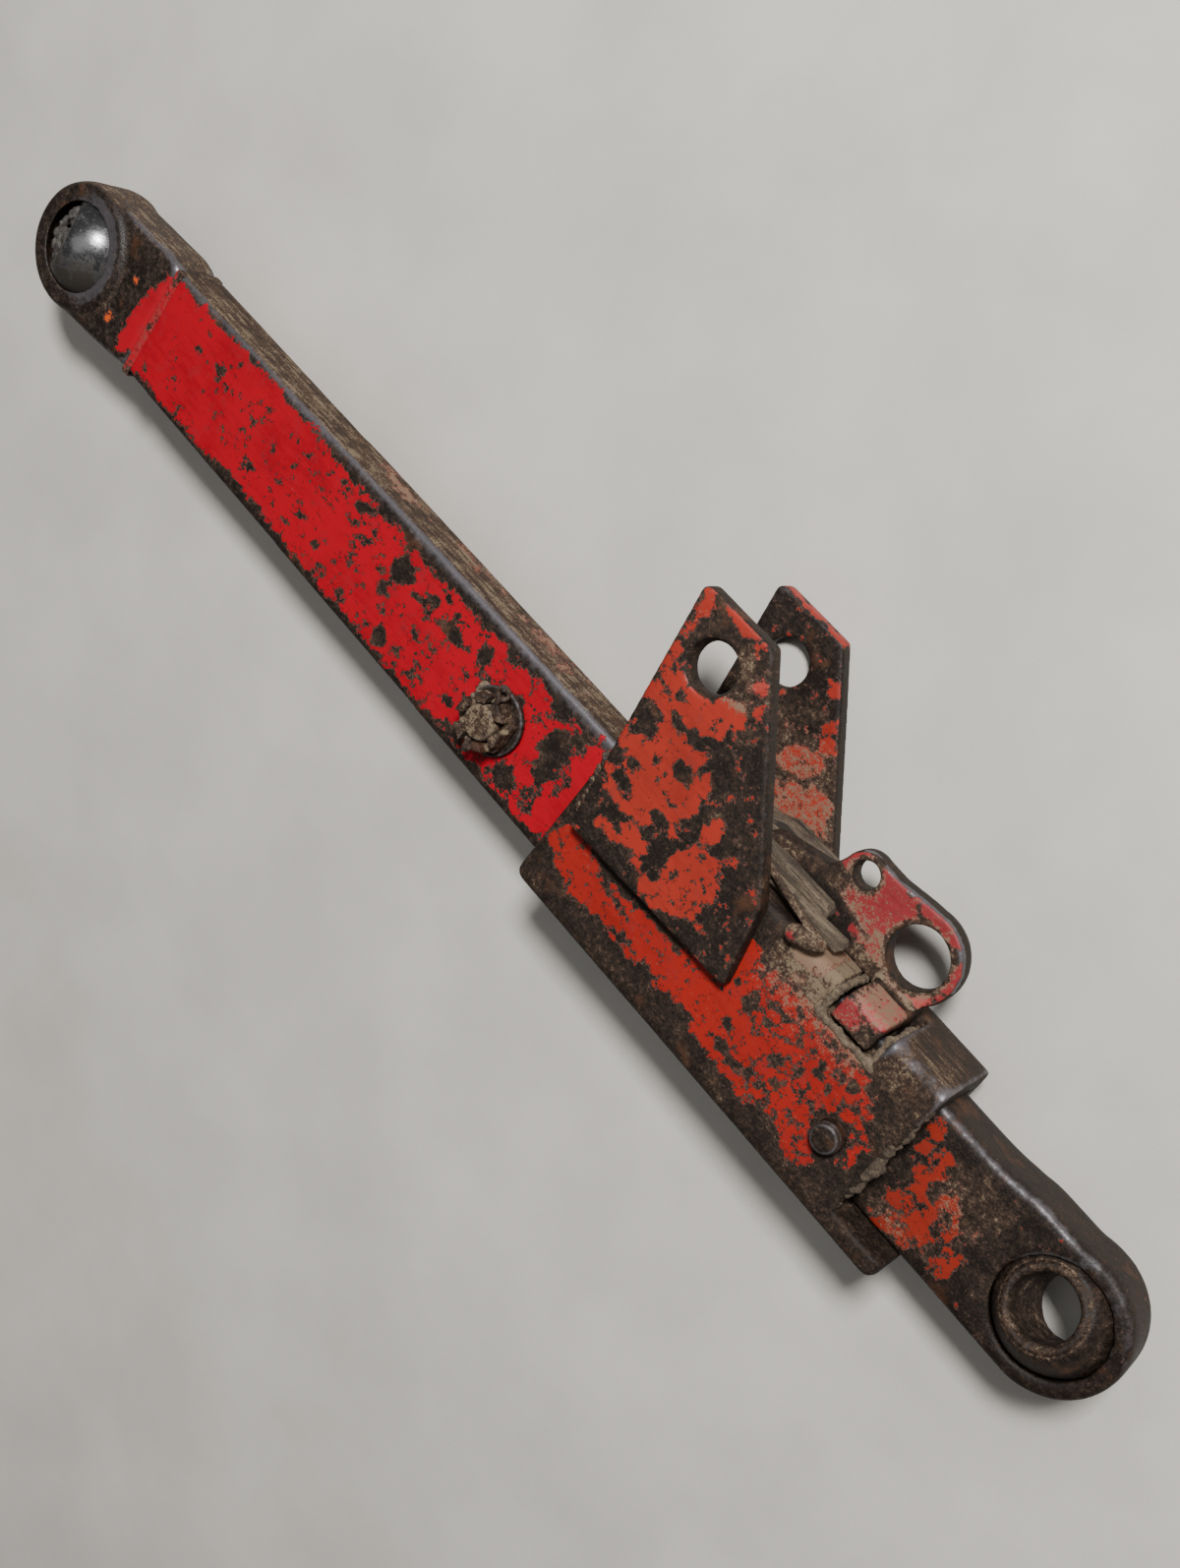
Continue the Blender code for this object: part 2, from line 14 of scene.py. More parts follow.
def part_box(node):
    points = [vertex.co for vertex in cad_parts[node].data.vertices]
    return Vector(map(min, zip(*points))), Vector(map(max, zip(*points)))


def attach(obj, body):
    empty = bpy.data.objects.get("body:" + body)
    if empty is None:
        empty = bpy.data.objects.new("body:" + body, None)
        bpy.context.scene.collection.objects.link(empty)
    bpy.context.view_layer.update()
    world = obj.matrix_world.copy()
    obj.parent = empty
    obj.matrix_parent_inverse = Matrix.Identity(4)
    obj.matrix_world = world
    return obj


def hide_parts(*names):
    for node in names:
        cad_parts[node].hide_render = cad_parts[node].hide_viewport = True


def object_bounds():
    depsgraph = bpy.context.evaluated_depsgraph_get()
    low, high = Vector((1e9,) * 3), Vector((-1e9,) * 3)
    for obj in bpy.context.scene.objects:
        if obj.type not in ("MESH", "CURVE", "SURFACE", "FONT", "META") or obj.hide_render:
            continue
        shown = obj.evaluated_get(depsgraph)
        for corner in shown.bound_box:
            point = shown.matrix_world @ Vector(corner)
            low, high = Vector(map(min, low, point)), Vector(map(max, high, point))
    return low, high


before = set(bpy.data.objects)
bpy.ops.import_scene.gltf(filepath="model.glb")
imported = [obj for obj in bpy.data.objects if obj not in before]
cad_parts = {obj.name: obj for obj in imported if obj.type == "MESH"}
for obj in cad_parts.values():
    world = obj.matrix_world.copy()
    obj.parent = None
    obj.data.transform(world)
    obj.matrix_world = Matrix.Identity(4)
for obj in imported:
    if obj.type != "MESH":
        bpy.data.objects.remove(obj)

cad_low, cad_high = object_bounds()
MM = 0.001


def middle(node):
    """The centre of a CAD node's box."""
    low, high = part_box(node)
    return (low + high) / 2


# Where the arm's own millimetres start.
ORIGIN = middle("front_ball")

# Colours, linear. Steel, rust and dirt first.
# The darkest steel colour, also used for painted shade.
GRIME_AND_SHADE = (0.009, 0.0055, 0.0035)
RUST_DARK = (0.024, 0.0145, 0.0095)
RUST_MID = (0.062, 0.037, 0.024)
RUST_WARM = (0.100, 0.040, 0.018)
DUST = (0.170, 0.125, 0.080)
MUD = (0.085, 0.060, 0.039)
BARE_STEEL = (0.165, 0.154, 0.166)
MOSS = (0.085, 0.090, 0.050)
# Near black, for painted shade in the hollows and cracks of dried dirt.
CRACK_SHADE = (0.018, 0.013, 0.009)
OILY_STAIN = (0.040, 0.033, 0.026)
BALL_STEEL = (0.17, 0.166, 0.166)
BLOCK_DIRT = (0.050, 0.036, 0.024)
BLOCK_DUST = (0.150, 0.110, 0.072)
MOUTH_DIRT = (0.040, 0.026, 0.017)
MOUTH_DUST = (0.105, 0.075, 0.048)
NUT_DIRT = (0.115, 0.084, 0.056)
GREASE = (0.035, 0.031, 0.028)
GREASE_PALE = (0.11, 0.10, 0.09)
# Paints: primer, fresh and faded.
PRIMER = (0.115, 0.060, 0.046)
BRIGHT_RED = (0.385, 0.0018, 0.0115)
ORANGE_RED = (0.315, 0.027, 0.016)
SLEEVE_RED = (0.305, 0.015, 0.010)
LINK_RED = (0.24, 0.020, 0.010)
CRIMSON = (0.240, 0.025, 0.027)
PINK = (0.380, 0.085, 0.070)
DULL_RED = (0.27, 0.035, 0.033)
ORANGE = (0.55, 0.085, 0.010)
# The floor.
FLOOR_DARK = (0.52, 0.49, 0.445)
FLOOR_LIGHT = (0.62, 0.585, 0.53)

# How far each swivel ball's bore leans from upright, the front one straight back along the arm.
FRONT_TILT = math.radians(42)
REAR_TILT = math.radians(18)
REAR_HEADING = math.radians(138)
BORE_MOUTH = 21
REAR_EYE_X = 800


# ---------------------------------------------------------------- noise and meshes

def lattice(ix, iy, iz, seed):
    """Repeatable random values from -1 to 1 at whole-number points."""
    n = ix * 374761393 + iy * 668265263 + iz * 1442695041 + seed * 97531
    n = (n ^ (n >> 13)) & 0xFFFFFFFF
    n = (n * 1274126177) & 0xFFFFFFFF
    n = n ^ (n >> 16)
    return n / 2147483647.5 - 1.0


def noise(points, size, seed=0, stretch=(1, 1, 1)):
    """Smooth noise from about -1 to 1 with features `size` across."""
    p = points / (size * np.array(stretch, float))
    cell = np.floor(p).astype(np.int64)
    f = p - cell
    f = f * f * (3 - 2 * f)
    total = np.zeros(len(p))
    for corner in range(8):
        step = np.array((corner & 1, corner >> 1 & 1, corner >> 2 & 1))
        weight = np.prod(np.where(step, f, 1 - f), axis=1)
        total += weight * lattice(*(cell + step).T, seed)
    return total


def fractal(points, size, octaves=3, seed=0, stretch=(1, 1, 1)):
    """Noise with finer and finer noise on top of it."""
    total = np.zeros(len(points))
    for k in range(octaves):
        total += noise(points, size / 2 ** k, seed + 31 * k, stretch) / 2 ** k
    return total / (2 - 2 ** (1 - octaves))


def ramp(value, low, high):
    """0 at low, 1 at high and smooth between. Low may be the larger of the two."""
    t = np.clip((value - low) / (high - low), 0, 1)
    return t * t * (3 - 2 * t)


def blob(x, y, spot):
    """1 at the centre of an oval patch, 0 on its outline, below 0 outside. A spot is its centre,
    half sizes and turn in degrees."""
    cx, cy, rx, ry = spot[:4]
    turn = math.radians(spot[4]) if len(spot) > 4 else 0.0
    dx, dy = x - cx, y - cy
    u = (dx * math.cos(turn) + dy * math.sin(turn)) / rx
    v = (dy * math.cos(turn) - dx * math.sin(turn)) / ry
    return 1 - np.sqrt(u * u + v * v)


def depth(x, y, spots):
    """Roughly how many millimetres inside the nearest of some oval patches a point is."""
    return np.max([blob(x, y, spot) * min(spot[2], spot[3]) for spot in spots], axis=0)


def link(obj):
    """Put an object into the scene."""
    bpy.context.scene.collection.objects.link(obj)
    return obj


def remeshed(obj, voxel):
    """The object's mesh as an even closed skin of small quads."""
    modifier = obj.modifiers.new("even", "REMESH")
    modifier.mode = "VOXEL"
    modifier.voxel_size = voxel * MM
    modifier.adaptivity = 0.0
    graph = bpy.context.evaluated_depsgraph_get()
    mesh = bpy.data.meshes.new_from_object(obj.evaluated_get(graph))
    obj.modifiers.clear()
    obj.data = mesh
    return obj


class Skin:
    """A finely meshed piece whose points can be pushed about and marked with wear."""

    def __init__(self, obj, voxel):
        self.obj = obj
        self.voxel = voxel
        self.mesh = obj.data
        count = len(self.mesh.vertices)
        pairs = np.zeros(len(self.mesh.edges) * 2, np.int32)
        self.mesh.edges.foreach_get("vertices", pairs)
        self.start, self.end = pairs.reshape(-1, 2).T
        self.degree = np.maximum(np.bincount(pairs, minlength=count), 1)
        self.read()

    def read(self):
        """Take the points and normals from the mesh, in metres and in the arm's millimetres."""
        count = len(self.mesh.vertices)
        co = np.zeros(count * 3)
        self.mesh.vertices.foreach_get("co", co)
        normal = np.zeros(count * 3)
        self.mesh.vertices.foreach_get("normal", normal)
        self.co, self.normal = co.reshape(-1, 3), normal.reshape(-1, 3)
        self.arm = (self.co - np.array(ORIGIN)) / MM
        self.x, self.y, self.z = self.arm.T

    def write(self):
        """Give the mesh its moved points, kept inside the CAD model's box."""
        low, high = np.array(cad_low), np.array(cad_high)
        self.co = np.clip(self.co, low, high)
        self.mesh.vertices.foreach_set("co", self.co.ravel())
        self.mesh.update()
        self.read()

    def relaxed(self, values, steps):
        """Values averaged with their neighbours again and again."""
        columns = np.array(values, float).reshape(len(self.co), -1)
        for _ in range(steps):
            total = np.empty_like(columns)
            for k in range(columns.shape[1]):
                c = columns[:, k]
                total[:, k] = np.bincount(self.start, c[self.end], len(c))
                total[:, k] += np.bincount(self.end, c[self.start], len(c))
            columns = 0.5 * columns + 0.5 * total / self.degree[:, None]
        return columns.reshape(np.shape(values))

    def smooth(self, steps):
        """Round the edges off and even out the voxels' steps."""
        self.co = self.relaxed(self.co, steps)
        self.write()

    def bend(self, steps=8):
        """How convex (above 0) or hollow (below 0) the surface is, in millimetres."""
        gap = self.co - self.relaxed(self.co, steps)
        return np.sum(gap * self.normal, axis=1) / MM

    def push(self, amount):
        """Move the points along their normals by so many millimetres."""
        self.co = self.co + self.normal * (amount * MM)[:, None]
        self.write()

    def mark(self, name, values):
        """Store one number for each point, which a material reads by its name."""
        values = np.zeros(len(self.x)) + values
        layer = self.mesh.attributes.new(name, "FLOAT", "POINT")
        layer.data.foreach_set("value", values.astype(np.float32))


def skin_of(node, voxel, smooth=1):
    """A fine skin over a copy of a CAD node, with its edges rounded by smoothing."""
    obj = link(bpy.data.objects.new(node + "_skin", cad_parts[node].data.copy()))
    skin = Skin(remeshed(obj, voxel), voxel)
    skin.smooth(smooth)
    return skin


def settle(skin, material, body, slot, *nodes):
    """Give a piece its material and its body, and hide the CAD nodes that it stands for. The slot is not
    used.
    """
    mesh = skin.mesh
    mesh.materials.clear()
    mesh.materials.append(material)
    mesh.shade_smooth()
    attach(skin.obj, body)
    if nodes:
        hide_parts(*nodes)


# ---------------------------------------------------------------- materials

class Shader:
    """A material's node tree, written with short calls that return sockets."""

    def __init__(self, name):
        self.material = bpy.data.materials.new(name)
        self.material.use_nodes = True
        self.tree = self.material.node_tree
        self.surface = self.tree.nodes["Principled BSDF"]
        self.place = self.node("ShaderNodeTexCoord").outputs["Object"]

    def node(self, kind, **settings):
        made = self.tree.nodes.new(kind)
        for key, value in settings.items():
            setattr(made, key, value)
        return made

    def feed(self, socket, value):
        """Link a socket into another, or set a plain number or colour."""
        if isinstance(value, bpy.types.NodeSocket):
            self.tree.links.new(value, socket)
        elif socket.type == "RGBA" and len(value) == 3:
            socket.default_value = (*value, 1.0)
        else:
            socket.default_value = value

    def math(self, operation, a, b=0.0):
        made = self.node("ShaderNodeMath", operation=operation)
        self.feed(made.inputs[0], a)
        self.feed(made.inputs[1], b)
        return made.outputs[0]

    def add(self, *terms):
        total = terms[0]
        for term in terms[1:]:
            total = self.math("ADD", total, term)
        return total

    def times(self, a, b):
        return self.math("MULTIPLY", a, b)

    def step(self, value, low, high, start=0.0, end=1.0):
        """`start` below low, `end` above high and smooth between."""
        made = self.node("ShaderNodeMapRange", interpolation_type="SMOOTHSTEP")
        for name, number in zip(("Value", "From Min", "From Max", "To Min", "To Max"),
                                (value, low, high, start, end)):
            self.feed(made.inputs[name], number)
        return made.outputs["Result"]

    # The mix node has sockets for each kind of data: 2, 3 and 0 are numbers; 6, 7 and 2 colours.
    def mix(self, share, a, b):
        made = self.node("ShaderNodeMix", data_type="RGBA")
        self.feed(made.inputs[0], share)
        self.feed(made.inputs[6], a)
        self.feed(made.inputs[7], b)
        return made.outputs[2]

    def value_mix(self, share, a, b):
        made = self.node("ShaderNodeMix", data_type="FLOAT")
        self.feed(made.inputs[0], share)
        self.feed(made.inputs[2], a)
        self.feed(made.inputs[3], b)
        return made.outputs[0]

    def noise(self, size, detail=3.0, rough=0.55, stretch=(1, 1, 1), seed=0.0, twist=0.0):
        """Fractal noise centred on 0, with features `size` millimetres across."""
        place = self.node("ShaderNodeMapping")
        self.feed(place.inputs["Vector"], self.place)
        place.inputs["Scale"].default_value = [1 / (size * MM * s) for s in stretch]
        place.inputs["Location"].default_value = (seed, seed * 1.7, seed * 0.3)
        made = self.node("ShaderNodeTexNoise")
        self.feed(made.inputs["Vector"], place.outputs["Vector"])
        made.inputs["Scale"].default_value = 1.0
        made.inputs["Detail"].default_value = detail
        made.inputs["Roughness"].default_value = rough
        made.inputs["Distortion"].default_value = twist
        return self.math("SUBTRACT", made.outputs[0], 0.5)

    def attribute(self, name):
        return self.node("ShaderNodeAttribute", attribute_name=name).outputs["Fac"]

    def finish(self, colour, roughness, metallic, height):
        """Height is in millimetres."""
        self.feed(self.surface.inputs["Base Color"], colour)
        self.feed(self.surface.inputs["Roughness"], roughness)
        self.feed(self.surface.inputs["Metallic"], metallic)
        bump = self.node("ShaderNodeBump")
        bump.inputs["Distance"].default_value = MM
        self.feed(bump.inputs["Height"], height)
        self.feed(self.surface.inputs["Normal"], bump.outputs["Normal"])
        return self.material


def bare_metal(s, seed, gloss):
    """Grimy rusted steel, tan where it is dusty and near black where its dust mark is below zero, which
    in places is painted shade: returns its colour, roughness and height.
    """
    patches = s.noise(11, 4, 0.62, seed=seed)
    grain = s.noise(1.3, 3, 0.7, seed=seed + 3)
    specks = s.noise(3.2, 4, 0.72, seed=seed + 7)
    streaks = s.noise(2.2, 4, 0.7, seed=seed + 9, stretch=(9, 1, 1))
    specks = s.value_mix(s.attribute("lay"), specks, streaks)
    dust_and_shade = s.attribute("dust_and_shade")
    # A dust mark below zero darkens the steel to its darkest colour: painted shade where a piece sets it
    # so for a gap or a side face.
    shade = s.add(0.37, patches, s.times(grain, 1.15), s.times(specks, 1.5), s.times(dust_and_shade, 0.5))
    colour = s.mix(s.step(shade, 0.18, 0.50), GRIME_AND_SHADE, RUST_DARK)
    colour = s.mix(s.step(shade, 0.50, 0.76), colour, RUST_MID)
    warm = s.step(s.noise(24, 3, 0.6, seed=seed + 11), 0.08, 0.22, 0.0, 0.5)
    colour = s.mix(warm, colour, RUST_WARM)
    tan = s.step(shade, 0.74, 0.96)
    colour = s.mix(tan, colour, DUST)
    rough = s.step(shade, 0.25, 0.85, 0.74 - 0.4 * gloss, 0.95)
    height = s.add(s.times(grain, 0.30), s.times(specks, 0.35), s.times(tan, 0.08))
    return colour, rough, height


def shaded(colour, share, lift=0.0):
    """A darker version of a colour, made greyer by a lift."""
    return tuple(share * c + lift for c in colour)


def paint_coat(s, paint, faded, seed, chip, ragged):
    """Chipped, dull and dusty paint: returns where it is left, where primer shows round it, and
    its colour, roughness and height."""
    big = s.noise(chip, 3, 0.6, seed=seed + 31)
    middle_size = s.noise(3.6, 4, 0.65, seed=seed + 35)
    small = s.noise(1.1, 3, 0.6, seed=seed + 37)
    cover = s.add(s.attribute("paint"), s.times(big, ragged), middle_size, s.times(small, 0.45))
    layer = s.step(cover, 0.49, 0.51)
    primer = s.times(s.step(cover, 0.40, 0.46), s.step(small, -0.1, 0.05, 0.2, 0.85))
    tone = s.noise(30, 4, 0.6, seed=seed + 41)
    streak = s.noise(3, 4, 0.7, seed=seed + 43, stretch=(6, 1, 1))
    dull = s.step(s.add(tone, s.times(streak, 0.6), s.times(small, 0.3)), -0.12, 0.25, 0.0, 0.65)
    red = s.mix(dull, paint, shaded(paint, 0.62))
    smudge = s.step(s.noise(9, 4, 0.65, seed=seed + 47), 0.02, 0.2, 0.0, 0.35)
    red = s.mix(smudge, red, shaded(paint, 0.5, 0.02))
    worn = s.step(s.add(s.attribute("fade"), s.times(small, 0.5), middle_size), 0.2, 0.7)
    red = s.mix(worn, red, faded)
    dirt = s.add(s.attribute("dust_and_shade"), s.times(small, 1.2), s.times(middle_size, 1.2))
    dirt = s.step(dirt, 0.32, 0.68, 0.0, 0.9)
    red = s.mix(dirt, red, DUST)
    chip_edge = s.step(cover, 0.50, 0.55)
    red = s.mix(chip_edge, shaded(paint, 0.6), red)
    rough = s.add(s.times(tone, 0.3), s.times(dirt, 0.3), 0.45)
    height = s.add(0.16, s.times(streak, 0.03), s.times(tone, 0.05), s.times(dirt, 0.08))
    return layer, primer, red, rough, height


def weathered(name, paint=None, faded=PINK, seed=0.0, gloss=0.3, chip=10.0, ragged=1.2, sheen=0.25):
    """Rusty steel, burnished on its edges, with worn paint on it if a paint is given. The mesh's
    marks say how much is left of each."""
    s = Shader(name)
    s.surface.inputs["Specular IOR Level"].default_value = sheen
    colour, rough, height = bare_metal(s, seed, gloss)
    rub = s.noise(4.5, 4, 0.68, seed=seed + 19)
    shine = s.step(s.add(s.attribute("edge"), s.times(rub, 0.9)), 0.25, 0.95, 0.0, 0.85)
    colour = s.mix(shine, colour, BARE_STEEL)
    scuff = s.noise(1.2, 3, 0.6, seed=seed + 23)
    rough = s.value_mix(shine, rough, s.add(s.times(scuff, 0.35), 0.34))
    metallic = s.times(shine, 0.9)
    height = s.value_mix(shine, height, s.times(scuff, 0.05))
    if paint is not None:
        layer, primer, red, dull, top = paint_coat(s, paint, faded, seed, chip, ragged)
        colour = s.mix(layer, s.mix(primer, colour, PRIMER), red)
        rough = s.value_mix(layer, rough, dull)
        metallic = s.times(metallic, s.math("SUBTRACT", 1.0, layer))
        height = s.value_mix(layer, height, top)
    return s.finish(colour, rough, metallic, height)


def caked(name, seed, colour, pale, stretch=(1, 1, 1)):
    """Dried dirt with pale high spots, and its hollows and cracks darkened as painted shade."""
    s = Shader(name)
    lumps = s.noise(5, 5, 0.65, seed=seed, stretch=stretch)
    grain = s.noise(1.1, 4, 0.7, seed=seed + 5)
    fibre = s.noise(1.5, 4, 0.7, seed=seed + 7, stretch=stretch)
    hollow = s.attribute("hollow")
    shade = s.mix(s.step(s.add(lumps, s.times(grain, 0.7), fibre), -0.15, 0.25), colour, pale)
    # Painted shade: hollows and cracks are darkened to near black, with dark fibres besides.
    shade = s.mix(s.step(s.add(hollow, s.times(fibre, 1.2)), 0.25, 0.6), shade, CRACK_SHADE)
    rust = s.step(s.noise(9, 4, 0.6, seed=seed + 9), 0.06, 0.18, 0.0, 0.7)
    shade = s.mix(rust, shade, RUST_DARK)
    moss = s.step(s.noise(12, 4, 0.6, seed=seed + 13), 0.08, 0.22, 0.0, 0.4)
    shade = s.mix(moss, shade, MOSS)
    height = s.add(s.times(lumps, 0.5), s.times(grain, 0.3), s.times(fibre, 0.4))
    return s.finish(shade, s.step(grain, -0.3, 0.3, 0.8, 0.98), 0.0, height)


def burnished(name, seed, colour):
    """Dark worn steel that shines where it rubs."""
    s = Shader(name)
    cloud = s.noise(9, 5, 0.65, seed=seed, twist=0.6)
    grain = s.noise(1.2, 4, 0.6, seed=seed + 3)
    stain = s.step(s.add(cloud, s.times(grain, 0.4), s.times(s.attribute("dust_and_shade"), 0.6)), 0.05, 0.3)
    shade = s.mix(stain, colour, OILY_STAIN)
    shade = s.mix(s.step(s.noise(4, 4, 0.6, seed=seed + 9), 0.08, 0.22, 0.0, 0.3), shade, RUST_DARK)
    roughness = s.value_mix(stain, s.add(0.25, s.times(grain, 0.25)), 0.62)
    metallic = s.value_mix(stain, 0.95, 0.25)
    return s.finish(shade, roughness, metallic, s.add(s.times(cloud, 0.10), s.times(grain, 0.05)))


# ---------------------------------------------------------------- pieces

def wear_marks(skin, paint, dust_and_shade=0.0, edge=1.0, fade=0.0, lay=0.0, rubbed=0.0, reach=6, spread=3):
    """Mark where a piece is painted, burnished, dusty, faded and streaked along its length, and where
    it is darkened, which in places is painted shade. Its outer edges are burnished and its hollows
    dusty by themselves: the bend over the voxel's square says how sharp they are, however fine the
    mesh is. Reach and spread count the smoothing steps that measure the bend and that widen the
    burnished band."""
    bend = skin.bend(reach) / skin.voxel ** 2
    worn = skin.relaxed(ramp(bend, 0.03, 0.13), spread)
    skin.mark("paint", paint)
    skin.mark("edge", worn * edge + rubbed)
    skin.mark("dust_and_shade", 0.7 * ramp(-bend, 0.02, 0.12) + dust_and_shade)
    skin.mark("fade", fade)
    skin.mark("lay", lay)


def bar_paint(x, y):
    """How much paint the bar's broad faces have: a field with uneven edges, chips in it, and a
    strip beside the sleeve. Paint shows above about 0.5."""
    upper = np.interp(x, (60, 190, 260, 330, 400, 430, 467), (33, 33, 30, 28, 32, 30, 34))
    lower = np.interp(x, (60, 160, 175, 250, 467), (-28, -26, -24, -28, -30))
    inside = np.minimum(upper - y, y - lower)
    whole = np.interp(x, (60, 80, 110, 180, 240, 270, 420, 435, 447, 460),
                      (0.88, 0.79, 0.72, 0.70, 0.69, 0.63, 0.62, 0.52, 0.48, 0.72))
    chips = depth(x, y, ((305, 16, 10, 8), (352, 13, 13, 4), (299, -1, 4, 6), (374, 19, 6, 9),
                         (263, 24, 9, 3, 30), (275, 12, 8, 3, 20), (320, 12, 9, 3), (331, 18, 6, 4),
                         (258, -24, 2, 8), (315, -22, 6, 7), (385, -26, 11, 5), (249, -14, 3, 2),
                         (425, -22, 9, 7), (438, 13, 10, 14), (430, 28, 8, 4), (390, 29, 7, 4),
                         (335, 26, 9, 3), (370, -16, 5, 4), (353, -9, 4, 2), (440, -2, 7, 9),
                         (115, 14, 3, 2), (133, 15, 4, 3), (83, 27, 2, 2), (143, 27, 2, 2),
                         (150, -4, 4, 1.5, 20), (172, 10, 4, 2, 30), (186, -12, 5, 2, 25),
                         (204, 4, 4, 2, 10), (214, 20, 5, 2, 20), (232, -8, 4, 2, 30)))
    paint = np.minimum(np.minimum(whole, 0.5 + inside / 12), 0.55 - chips / 9)
    strip = depth(x, y, ((458, 10, 4, 26, 8), (455, -16, 9, 9), (425, 0, 5, 9), (432, -12, 8, 5)))
    return np.maximum(paint, np.minimum(0.5 + strip / 9, 0.9))


def main_bar():
    """Bright paint, a burnished upper edge and a dusty upper side."""
    skin = skin_of("main_bar", 1.5, smooth=18)
    top_side = ramp(skin.normal[:, 1], 0.6, 0.9)
    grain = fractal(skin.arm, 4.0, 3, 5, (7, 1, 1))
    skin.push(-0.10 + 0.14 * fractal(skin.arm, 40, 3, 1) - 0.35 * top_side * np.abs(grain))
    x, y, z = skin.arm.T
    paint = bar_paint(x, y)
    near = ramp(skin.normal[:, 2], 0.5, 0.9)
    top_paint = 0.30 + depth(x, z, ((262, -4, 26, 9), (330, -9, 32, 7), (392, -4, 26, 10))) / 30
    far = ramp(-skin.normal[:, 2], 0.5, 0.9)
    paint = near * paint + far * (paint - 0.2) + top_side * top_paint
    edge = np.where(y > 0, 0.75 - 0.33 * ramp(x, 280, 130), 0.25)
    band = ramp(y, 28, 35) * ramp(skin.normal[:, 1], 0.97, 0.75) * ramp(z, 0, 8)
    wear_marks(skin, paint, dust_and_shade=0.72 * top_side, edge=edge, lay=top_side, rubbed=0.30 * band,
               spread=7)
    settle(skin, weathered("bar_paint", BRIGHT_RED, seed=1.0), "arm", "red_paint", "main_bar")


def front_eye():
    """Dark glossy forging with bright paint at the weld, two orange spots and a rubbed ring, burnished
    only on the side towards the key lamp as a painted highlight.
    """
    skin = skin_of("front_eye", 1.2, smooth=7)
    skin.push(-0.05 + 0.16 * fractal(skin.arm, 14, 3, 8))
    x, y = skin.x, skin.y
    patch = depth(x, y, ((73, 3, 14, 29, -8), (64, -18, 8, 8), (48, 13, 1.5, 1.5), (44, -17, 3, 2)))
    paint = np.minimum(0.5 + patch / 10, 0.95) * ramp(skin.normal[:, 2], 0.4, 0.8)
    side = ramp(skin.normal[:, 1], 0.5, 0.9)
    # The rubbed ring is kept to the side that faces the key lamp: worn steel there, and a painted
    # highlight.
    rubbed_ring_and_highlight = ramp(np.abs(np.hypot(x, y) - 30), 6, 2) * ramp(skin.z, 15, 18) * ramp(x + 0.5 * y, -25, 22)
    orange = depth(x, y, ((45, -18, 7, 5), (47, 12, 4, 4)))
    wear_marks(skin, paint, edge=np.where(np.hypot(x, y) < 38, 0.3, 0.8), dust_and_shade=0.65 * side, lay=side,
               fade=ramp(orange, -1, 1), rubbed=0.6 * rubbed_ring_and_highlight)
    look = weathered("front_eye_rust", BRIGHT_RED, ORANGE, seed=4.0, gloss=0.9, sheen=0.4)
    settle(skin, look, "arm", "rusted_forging", "front_eye")


def eye_weld():
    """A flat bead round the bar, drawn in to hug the bar's rounded corners."""
    skin = skin_of("eye_weld", 0.42, smooth=4)
    skin.co[:, 1] -= np.sign(skin.y) * 2.4 * ramp(np.abs(skin.y), 35, 38) * MM
    skin.co[:, 2] -= np.sign(skin.z) * 1.2 * ramp(np.abs(skin.z), 11.5, 14) * MM
    skin.write()
    ripple = 0.02 * np.sin(skin.y * 1.5 + 2 * noise(skin.arm, 6, 3))
    skin.push(ripple - 0.05 + 0.10 * fractal(skin.arm, 5, 3, 12))
    near = ramp(skin.normal[:, 2], 0.3, 0.8)
    paint = near * np.interp(skin.y, (-31, -22, 26, 34), (0.45, 0.66, 0.66, 0.3))
    top_side = ramp(skin.normal[:, 1], 0.5, 0.9)
    wear_marks(skin, paint, dust_and_shade=0.2 + 0.35 * top_side, edge=0.2, fade=0.45, lay=top_side, reach=2,
               spread=1)
    settle(skin, weathered("eye_weld_rust", BRIGHT_RED, DULL_RED, seed=6.0), "arm",
           "weld_metal", "eye_weld")


def sleeve_paint(x, y):
    """How much paint the sleeve's broad faces have: a band below the ear that widens towards the
    latch, with chips in it."""
    band = depth(x, y, ((495, -14, 26, 11, -12), (545, -14, 42, 11), (590, -8, 34, 13),
                        (486, -8, 14, 9), (500, -22, 8, 5), (588, 14, 7, 24)))
    body = depth(x, y, ((632, 8, 50, 27), (626, -14, 42, 16), (667, -22, 9, 9), (686, 0, 6, 10)))
    paint = np.maximum(np.minimum(0.5 + band / 9, 0.67), np.minimum(0.5 + body / 12, 0.56))
    chips = depth(x, y, ((605, 8, 5, 5), (618, 8, 4, 3), (632, -2, 4, 4), (645, 3, 3, 3),
                         (652, -3, 3, 3), (640, -10, 4, 3), (668, 20, 4, 4), (612, -20, 9, 4),
                         (555, -25, 7, 5), (660, 10, 3, 3), (675, -6, 12, 11), (627, -19, 4, 4),
                         (535, -22, 8, 3), (622, 18, 4, 3), (650, 14, 3, 5), (603, -9, 4, 3),
                         (516, -9, 14, 2.5, -12), (648, -30, 16, 5), (684, -4, 3, 9)))
    paint = np.minimum(paint, 0.5 - chips / 8)
    return np.where(y > 33, 0.2 + depth(x, y, ((615, 36, 8, 5),)) / 12, paint)


